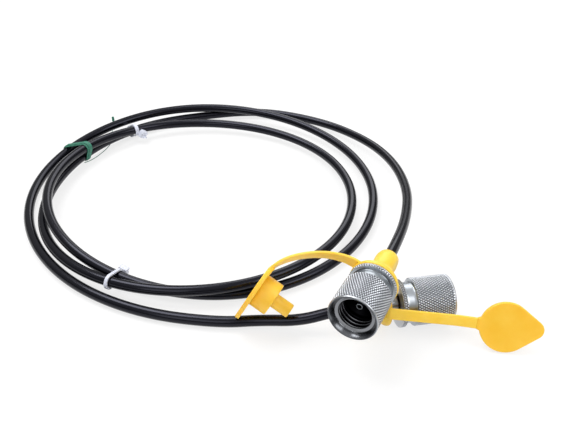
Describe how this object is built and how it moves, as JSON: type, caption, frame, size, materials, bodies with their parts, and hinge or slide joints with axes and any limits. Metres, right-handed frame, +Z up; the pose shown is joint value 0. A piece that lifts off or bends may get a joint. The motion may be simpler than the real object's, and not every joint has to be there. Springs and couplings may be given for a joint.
{
  "type": "coiled pressure test hose",
  "caption": "Coiled flexible pressure test hose with a knurled swivel screw coupling and a tethered push-in dust cap at each end, held with ties.",
  "frame": {"origin": "on the ground, below the middle of the bounding box of the two couplings with their straps and caps, which lie in front of the coil", "axes": "+X to the picture's right, along the row of the two couplings and caps; +Y away from the camera, over the coil; +Z up"},
  "size_m": [0.2499, 0.2256, 0.0394],
  "materials": {
    "plated_steel": "satin nickel plating",
    "spring_steel": "drawn wire",
    "seal_rubber": "smooth",
    "yellow_plastic": "moulded, soft sheen",
    "black_hose": "smooth extruded, satin",
    "white_nylon": "moulded, translucent",
    "green_paper": "coated paper over wire"
  },
  "bodies": {
    "hose": {"coupling_core_a": "plated_steel", "probe_pin_a": "plated_steel", "core_seal_a": "seal_rubber", "retaining_ring_a": "spring_steel", "crimp_ferrule_a": "plated_steel", "cap_collar_a": "yellow_plastic", "coupling_core_b": "plated_steel", "probe_pin_b": "plated_steel", "core_seal_b": "seal_rubber", "retaining_ring_b": "spring_steel", "crimp_ferrule_b": "plated_steel", "cap_collar_b": "yellow_plastic", "hose_lead_a": "black_hose", "hose_coil": "black_hose", "hose_lead_b": "black_hose", "cable_tie_back": "white_nylon", "cable_tie_front": "white_nylon", "twist_tie_ribbon": "green_paper", "twist_tie_wire": "green_paper"},
    "nut_a": {"coupling_nut_a": "plated_steel"},
    "strap_a": {"cap_strap_a": "yellow_plastic"},
    "cap_a": {"dust_cap_a": "yellow_plastic"},
    "nut_b": {"coupling_nut_b": "plated_steel"},
    "strap_b": {"cap_strap_b": "yellow_plastic"},
    "cap_b": {"dust_cap_b": "yellow_plastic"}
  },
  "joints": [
    {"name": "nut_a_swivel", "type": "hinge", "parent": "hose", "child": "nut_a", "pos_m": [-0.01276, -0.00994, 0.0285], "axis": [0.4181, 0.9077, -0.0358], "continuous": true},
    {"name": "strap_a_bend", "type": "hinge", "parent": "hose", "child": "strap_a", "pos_m": [-0.01533, 0.00811, 0.03277], "axis": [0.1192, 0.8772, -0.4652], "range_deg": [0, 24]},
    {"name": "cap_a_bend", "type": "hinge", "parent": "strap_a", "child": "cap_a", "pos_m": [-0.04899, 0.01071, 0.02907], "axis": [0.1192, 0.8772, -0.4652], "range_deg": [0, 20]},
    {"name": "nut_b_swivel", "type": "hinge", "parent": "hose", "child": "nut_b", "pos_m": [0.01641, 0.01141, 0.0105], "axis": [-0.9781, -0.2079, 0], "continuous": true},
    {"name": "strap_b_bend", "type": "hinge", "parent": "hose", "child": "strap_b", "pos_m": [-0.00017, -0.00195, 0.0147], "axis": [-0.0941, -0.4071, -0.9085], "range_deg": [-1, 24]},
    {"name": "cap_b_bend", "type": "hinge", "parent": "strap_b", "child": "cap_b", "pos_m": [0.03691, -0.00238, 0.01105], "axis": [-0.0941, -0.4071, -0.9085], "range_deg": [-20, 20]}
  ]
}
